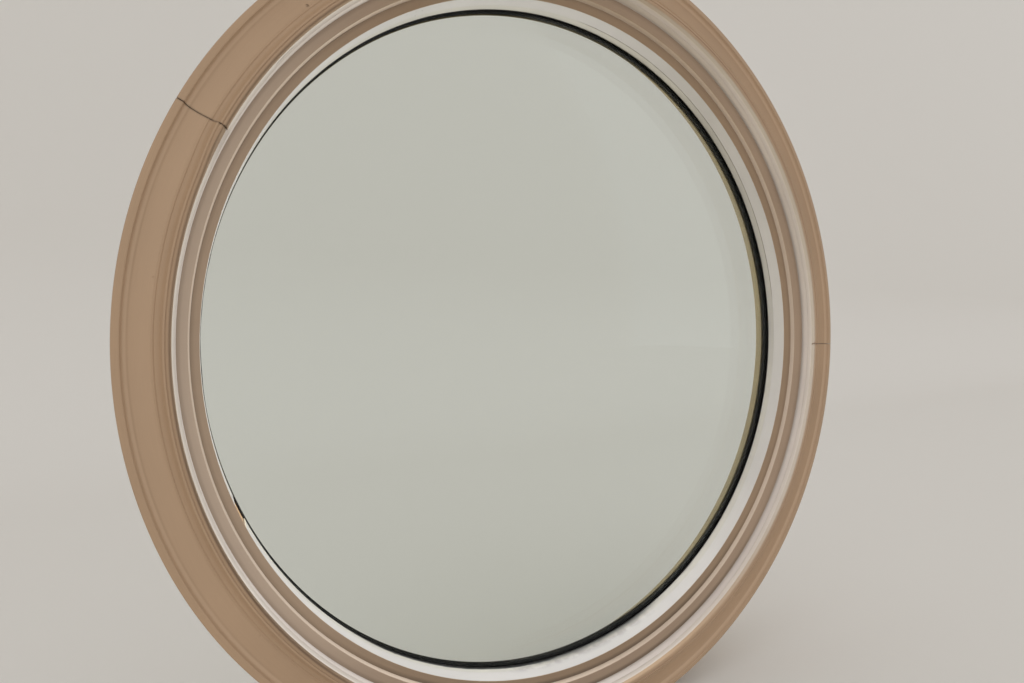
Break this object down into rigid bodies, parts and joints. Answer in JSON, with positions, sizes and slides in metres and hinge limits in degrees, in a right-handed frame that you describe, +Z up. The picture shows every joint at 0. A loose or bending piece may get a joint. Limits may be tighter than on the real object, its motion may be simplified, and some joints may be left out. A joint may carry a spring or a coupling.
{
  "type": "round window",
  "caption": "Fixed round picture window with a sealed glass unit, stepped stops, jamb and moulded round casing.",
  "frame": {"origin": "centre of the nail fin's circle, in the plane of the wall's outside face", "axes": "+Y along the window's axis, from the room to outdoors; +Z up; +X to the right as seen from the room"},
  "size_m": [1.322, 0.1543, 1.322],
  "materials": {
    "casing_paint": "tan satin paint over wood",
    "nail_steel": "plain nail steel",
    "nail_filler": "filler under the tan paint",
    "caulk": "painted caulk",
    "jamb_paint": "satin paint over laminated wood",
    "outer_stop_paint": "satin paint over wood",
    "inner_stop_paint": "satin paint over wood",
    "strip_paint": "satin paint over thin bent wood",
    "glazing_tape": "black butyl",
    "clear_glass": "clear",
    "spacer_foam": "black foam",
    "edge_sealant": "dark sealant",
    "block_rubber": "black rubber",
    "exterior_paint": "olive-tan outdoor paint",
    "galvanised_steel": "galvanised",
    "fin_metal": "mill finish"
  },
  "bodies": {
    "root": {"casing_upper": "casing_paint", "casing_lower": "casing_paint", "casing_nails": "nail_steel", "nail_fillers": "nail_filler", "caulk_bead": "caulk", "round_jamb": "jamb_paint", "outer_stop": "outer_stop_paint", "outer_stop_brads": "nail_steel", "inner_stop": "inner_stop_paint", "inner_stop_brads": "nail_steel", "lining_strip": "strip_paint", "glazing_strip": "strip_paint", "inner_glazing_tape": "glazing_tape", "inner_pane": "clear_glass", "spacer_bar": "spacer_foam", "edge_seal": "edge_sealant", "outer_pane": "clear_glass", "outer_glazing_tape": "glazing_tape", "setting_blocks": "block_rubber", "side_blocks": "block_rubber", "exterior_frame": "exterior_paint", "exterior_nails": "galvanised_steel", "nail_fin": "fin_metal"}
  },
  "joints": []
}
